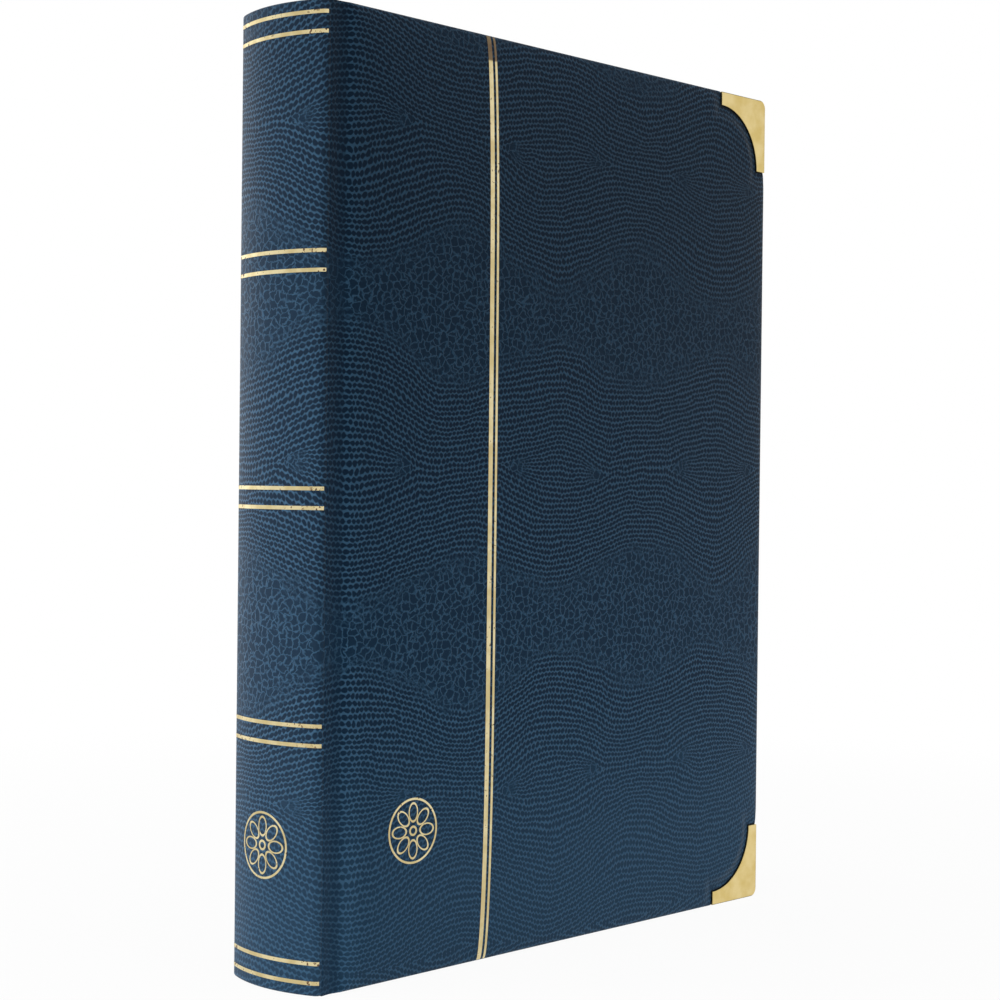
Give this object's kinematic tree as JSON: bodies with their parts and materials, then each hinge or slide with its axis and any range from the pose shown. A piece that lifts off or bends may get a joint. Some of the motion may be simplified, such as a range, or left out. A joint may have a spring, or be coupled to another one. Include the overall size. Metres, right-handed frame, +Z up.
{
  "type": "stamp album",
  "caption": "Upright stamp stock book with padded lizard-grain covers, arched gilt-banded spine, metal corners and hinged black leaves with clear pocket strips.",
  "frame": {"origin": "middle of the bottom of the bounding box, on the plane that the tail edges stand on", "axes": "+X from spine to fore-edge, +Y from front cover to rear cover, +Z up from tail to head"},
  "size_m": [0.23, 0.0488, 0.305],
  "materials": {
    "leatherette": "lizard-grain embossed, soft sheen",
    "gold_foil": "hot-stamped foil, bright",
    "gilt_metal": "polished gilt sheet",
    "grey_board": "raw board",
    "foam": "soft foam",
    "endpaper": "matt paper",
    "black_card": "matt card with clear film strips",
    "linen": "woven linen",
    "gauze": "glued gauze",
    "band_cloth": "woven two-colour band"
  },
  "bodies": {
    "spine": {"spine_board": "grey_board", "spine_covering": "leatherette", "spine_bands": "gold_foil", "back_lining": "gauze", "linen_guards": "linen", "headband": "band_cloth", "tailband": "band_cloth"},
    "front_cover": {"front_board": "grey_board", "front_padding": "foam", "front_covering": "leatherette", "front_infill": "grey_board", "front_pastedown": "endpaper", "front_lower_corner": "gilt_metal", "front_upper_corner": "gilt_metal", "front_stripes": "gold_foil"},
    "rear_cover": {"rear_board": "grey_board", "rear_padding": "foam", "rear_covering": "leatherette", "rear_infill": "grey_board", "rear_pastedown": "endpaper", "rear_lower_corner": "gilt_metal", "rear_upper_corner": "gilt_metal"},
    "front_flyleaf": {"front_flyleaf": "endpaper"},
    "rear_flyleaf": {"rear_flyleaf": "endpaper"},
    "leaf_01": {"leaf_01": "black_card"},
    "leaf_02": {"leaf_02": "black_card"},
    "leaf_03": {"leaf_03": "black_card"},
    "leaf_04": {"leaf_04": "black_card"},
    "leaf_05": {"leaf_05": "black_card"},
    "leaf_06": {"leaf_06": "black_card"},
    "leaf_07": {"leaf_07": "black_card"},
    "leaf_08": {"leaf_08": "black_card"},
    "leaf_09": {"leaf_09": "black_card"},
    "leaf_10": {"leaf_10": "black_card"},
    "leaf_11": {"leaf_11": "black_card"},
    "leaf_12": {"leaf_12": "black_card"},
    "leaf_13": {"leaf_13": "black_card"},
    "leaf_14": {"leaf_14": "black_card"},
    "leaf_15": {"leaf_15": "black_card"},
    "leaf_16": {"leaf_16": "black_card"},
    "leaf_17": {"leaf_17": "black_card"},
    "leaf_18": {"leaf_18": "black_card"},
    "leaf_19": {"leaf_19": "black_card"},
    "leaf_20": {"leaf_20": "black_card"},
    "leaf_21": {"leaf_21": "black_card"},
    "leaf_22": {"leaf_22": "black_card"},
    "leaf_23": {"leaf_23": "black_card"},
    "leaf_24": {"leaf_24": "black_card"},
    "leaf_25": {"leaf_25": "black_card"},
    "leaf_26": {"leaf_26": "black_card"},
    "leaf_27": {"leaf_27": "black_card"},
    "leaf_28": {"leaf_28": "black_card"},
    "leaf_29": {"leaf_29": "black_card"},
    "leaf_30": {"leaf_30": "black_card"},
    "leaf_31": {"leaf_31": "black_card"},
    "leaf_32": {"leaf_32": "black_card"}
  },
  "joints": [
    {"name": "front_cover_hinge", "type": "hinge", "parent": "spine", "child": "front_cover", "pos_m": [-0.10394, -0.02008, 0], "axis": [0, 0, -1], "range_deg": [0, 120]},
    {"name": "rear_cover_hinge", "type": "hinge", "parent": "spine", "child": "rear_cover", "pos_m": [-0.10394, 0.02008, 0], "axis": [0, 0, 1], "range_deg": [0, 120]},
    {"name": "front_flyleaf_fold", "type": "hinge", "parent": "spine", "child": "front_flyleaf", "pos_m": [-0.09984, -0.01655, 0], "axis": [0, 0, -1], "range_deg": [0, 81]},
    {"name": "rear_flyleaf_fold", "type": "hinge", "parent": "spine", "child": "rear_flyleaf", "pos_m": [-0.09984, 0.01655, 0], "axis": [0, 0, 1], "range_deg": [0, 81]},
    {"name": "leaf_01_fold", "type": "hinge", "parent": "spine", "child": "leaf_01", "pos_m": [-0.09984, -0.0155, 0], "axis": [0, 0, -1], "range_deg": [0, 76]},
    {"name": "leaf_02_fold", "type": "hinge", "parent": "spine", "child": "leaf_02", "pos_m": [-0.09984, -0.0145, 0], "axis": [0, 0, -1], "range_deg": [0, 71]},
    {"name": "leaf_03_fold", "type": "hinge", "parent": "spine", "child": "leaf_03", "pos_m": [-0.09984, -0.0135, 0], "axis": [0, 0, -1], "range_deg": [0, 66]},
    {"name": "leaf_04_fold", "type": "hinge", "parent": "spine", "child": "leaf_04", "pos_m": [-0.09984, -0.0125, 0], "axis": [0, 0, -1], "range_deg": [0, 62]},
    {"name": "leaf_05_fold", "type": "hinge", "parent": "spine", "child": "leaf_05", "pos_m": [-0.09984, -0.0115, 0], "axis": [0, 0, -1], "range_deg": [0, 57]},
    {"name": "leaf_06_fold", "type": "hinge", "parent": "spine", "child": "leaf_06", "pos_m": [-0.09984, -0.0105, 0], "axis": [0, 0, -1], "range_deg": [0, 52]},
    {"name": "leaf_07_fold", "type": "hinge", "parent": "spine", "child": "leaf_07", "pos_m": [-0.09984, -0.0095, 0], "axis": [0, 0, -1], "range_deg": [0, 48]},
    {"name": "leaf_08_fold", "type": "hinge", "parent": "spine", "child": "leaf_08", "pos_m": [-0.09984, -0.0085, 0], "axis": [0, 0, -1], "range_deg": [0, 43]},
    {"name": "leaf_09_fold", "type": "hinge", "parent": "spine", "child": "leaf_09", "pos_m": [-0.09984, -0.0075, 0], "axis": [0, 0, -1], "range_deg": [0, 38]},
    {"name": "leaf_10_fold", "type": "hinge", "parent": "spine", "child": "leaf_10", "pos_m": [-0.09984, -0.0065, 0], "axis": [0, 0, -1], "range_deg": [0, 33]},
    {"name": "leaf_11_fold", "type": "hinge", "parent": "spine", "child": "leaf_11", "pos_m": [-0.09984, -0.0055, 0], "axis": [0, 0, -1], "range_deg": [0, 29]},
    {"name": "leaf_12_fold", "type": "hinge", "parent": "spine", "child": "leaf_12", "pos_m": [-0.09984, -0.0045, 0], "axis": [0, 0, -1], "range_deg": [0, 24]},
    {"name": "leaf_13_fold", "type": "hinge", "parent": "spine", "child": "leaf_13", "pos_m": [-0.09984, -0.0035, 0], "axis": [0, 0, -1], "range_deg": [0, 19]},
    {"name": "leaf_14_fold", "type": "hinge", "parent": "spine", "child": "leaf_14", "pos_m": [-0.09984, -0.0025, 0], "axis": [0, 0, -1], "range_deg": [0, 15]},
    {"name": "leaf_15_fold", "type": "hinge", "parent": "spine", "child": "leaf_15", "pos_m": [-0.09984, -0.0015, 0], "axis": [0, 0, -1], "range_deg": [0, 10]},
    {"name": "leaf_16_fold", "type": "hinge", "parent": "spine", "child": "leaf_16", "pos_m": [-0.09984, -0.0005, 0], "axis": [0, 0, -1], "range_deg": [0, 5]},
    {"name": "leaf_17_fold", "type": "hinge", "parent": "spine", "child": "leaf_17", "pos_m": [-0.09984, 0.0005, 0], "axis": [0, 0, 1], "range_deg": [0, 5]},
    {"name": "leaf_18_fold", "type": "hinge", "parent": "spine", "child": "leaf_18", "pos_m": [-0.09984, 0.0015, 0], "axis": [0, 0, 1], "range_deg": [0, 10]},
    {"name": "leaf_19_fold", "type": "hinge", "parent": "spine", "child": "leaf_19", "pos_m": [-0.09984, 0.0025, 0], "axis": [0, 0, 1], "range_deg": [0, 15]},
    {"name": "leaf_20_fold", "type": "hinge", "parent": "spine", "child": "leaf_20", "pos_m": [-0.09984, 0.0035, 0], "axis": [0, 0, 1], "range_deg": [0, 19]},
    {"name": "leaf_21_fold", "type": "hinge", "parent": "spine", "child": "leaf_21", "pos_m": [-0.09984, 0.0045, 0], "axis": [0, 0, 1], "range_deg": [0, 24]},
    {"name": "leaf_22_fold", "type": "hinge", "parent": "spine", "child": "leaf_22", "pos_m": [-0.09984, 0.0055, 0], "axis": [0, 0, 1], "range_deg": [0, 29]},
    {"name": "leaf_23_fold", "type": "hinge", "parent": "spine", "child": "leaf_23", "pos_m": [-0.09984, 0.0065, 0], "axis": [0, 0, 1], "range_deg": [0, 33]},
    {"name": "leaf_24_fold", "type": "hinge", "parent": "spine", "child": "leaf_24", "pos_m": [-0.09984, 0.0075, 0], "axis": [0, 0, 1], "range_deg": [0, 38]},
    {"name": "leaf_25_fold", "type": "hinge", "parent": "spine", "child": "leaf_25", "pos_m": [-0.09984, 0.0085, 0], "axis": [0, 0, 1], "range_deg": [0, 43]},
    {"name": "leaf_26_fold", "type": "hinge", "parent": "spine", "child": "leaf_26", "pos_m": [-0.09984, 0.0095, 0], "axis": [0, 0, 1], "range_deg": [0, 48]},
    {"name": "leaf_27_fold", "type": "hinge", "parent": "spine", "child": "leaf_27", "pos_m": [-0.09984, 0.0105, 0], "axis": [0, 0, 1], "range_deg": [0, 52]},
    {"name": "leaf_28_fold", "type": "hinge", "parent": "spine", "child": "leaf_28", "pos_m": [-0.09984, 0.0115, 0], "axis": [0, 0, 1], "range_deg": [0, 57]},
    {"name": "leaf_29_fold", "type": "hinge", "parent": "spine", "child": "leaf_29", "pos_m": [-0.09984, 0.0125, 0], "axis": [0, 0, 1], "range_deg": [0, 62]},
    {"name": "leaf_30_fold", "type": "hinge", "parent": "spine", "child": "leaf_30", "pos_m": [-0.09984, 0.0135, 0], "axis": [0, 0, 1], "range_deg": [0, 66]},
    {"name": "leaf_31_fold", "type": "hinge", "parent": "spine", "child": "leaf_31", "pos_m": [-0.09984, 0.0145, 0], "axis": [0, 0, 1], "range_deg": [0, 71]},
    {"name": "leaf_32_fold", "type": "hinge", "parent": "spine", "child": "leaf_32", "pos_m": [-0.09984, 0.0155, 0], "axis": [0, 0, 1], "range_deg": [0, 76]}
  ],
  "couplings": [
    {"joint": "front_flyleaf_fold", "follows": "front_cover_hinge", "ratio": 0.66667},
    {"joint": "rear_flyleaf_fold", "follows": "rear_cover_hinge", "ratio": 0.66667},
    {"joint": "leaf_01_fold", "follows": "front_cover_hinge", "ratio": 0.62745},
    {"joint": "leaf_02_fold", "follows": "front_cover_hinge", "ratio": 0.58823},
    {"joint": "leaf_03_fold", "follows": "front_cover_hinge", "ratio": 0.54902},
    {"joint": "leaf_04_fold", "follows": "front_cover_hinge", "ratio": 0.5098},
    {"joint": "leaf_05_fold", "follows": "front_cover_hinge", "ratio": 0.47059},
    {"joint": "leaf_06_fold", "follows": "front_cover_hinge", "ratio": 0.43137},
    {"joint": "leaf_07_fold", "follows": "front_cover_hinge", "ratio": 0.39216},
    {"joint": "leaf_08_fold", "follows": "front_cover_hinge", "ratio": 0.35294},
    {"joint": "leaf_09_fold", "follows": "front_cover_hinge", "ratio": 0.31372},
    {"joint": "leaf_10_fold", "follows": "front_cover_hinge", "ratio": 0.27451},
    {"joint": "leaf_11_fold", "follows": "front_cover_hinge", "ratio": 0.23529},
    {"joint": "leaf_12_fold", "follows": "front_cover_hinge", "ratio": 0.19608},
    {"joint": "leaf_13_fold", "follows": "front_cover_hinge", "ratio": 0.15686},
    {"joint": "leaf_14_fold", "follows": "front_cover_hinge", "ratio": 0.11765},
    {"joint": "leaf_15_fold", "follows": "front_cover_hinge", "ratio": 0.078431},
    {"joint": "leaf_16_fold", "follows": "front_cover_hinge", "ratio": 0.039216},
    {"joint": "leaf_17_fold", "follows": "rear_cover_hinge", "ratio": 0.039216},
    {"joint": "leaf_18_fold", "follows": "rear_cover_hinge", "ratio": 0.078431},
    {"joint": "leaf_19_fold", "follows": "rear_cover_hinge", "ratio": 0.11765},
    {"joint": "leaf_20_fold", "follows": "rear_cover_hinge", "ratio": 0.15686},
    {"joint": "leaf_21_fold", "follows": "rear_cover_hinge", "ratio": 0.19608},
    {"joint": "leaf_22_fold", "follows": "rear_cover_hinge", "ratio": 0.23529},
    {"joint": "leaf_23_fold", "follows": "rear_cover_hinge", "ratio": 0.27451},
    {"joint": "leaf_24_fold", "follows": "rear_cover_hinge", "ratio": 0.31372},
    {"joint": "leaf_25_fold", "follows": "rear_cover_hinge", "ratio": 0.35294},
    {"joint": "leaf_26_fold", "follows": "rear_cover_hinge", "ratio": 0.39216},
    {"joint": "leaf_27_fold", "follows": "rear_cover_hinge", "ratio": 0.43137},
    {"joint": "leaf_28_fold", "follows": "rear_cover_hinge", "ratio": 0.47059},
    {"joint": "leaf_29_fold", "follows": "rear_cover_hinge", "ratio": 0.5098},
    {"joint": "leaf_30_fold", "follows": "rear_cover_hinge", "ratio": 0.54902},
    {"joint": "leaf_31_fold", "follows": "rear_cover_hinge", "ratio": 0.58823},
    {"joint": "leaf_32_fold", "follows": "rear_cover_hinge", "ratio": 0.62745}
  ]
}
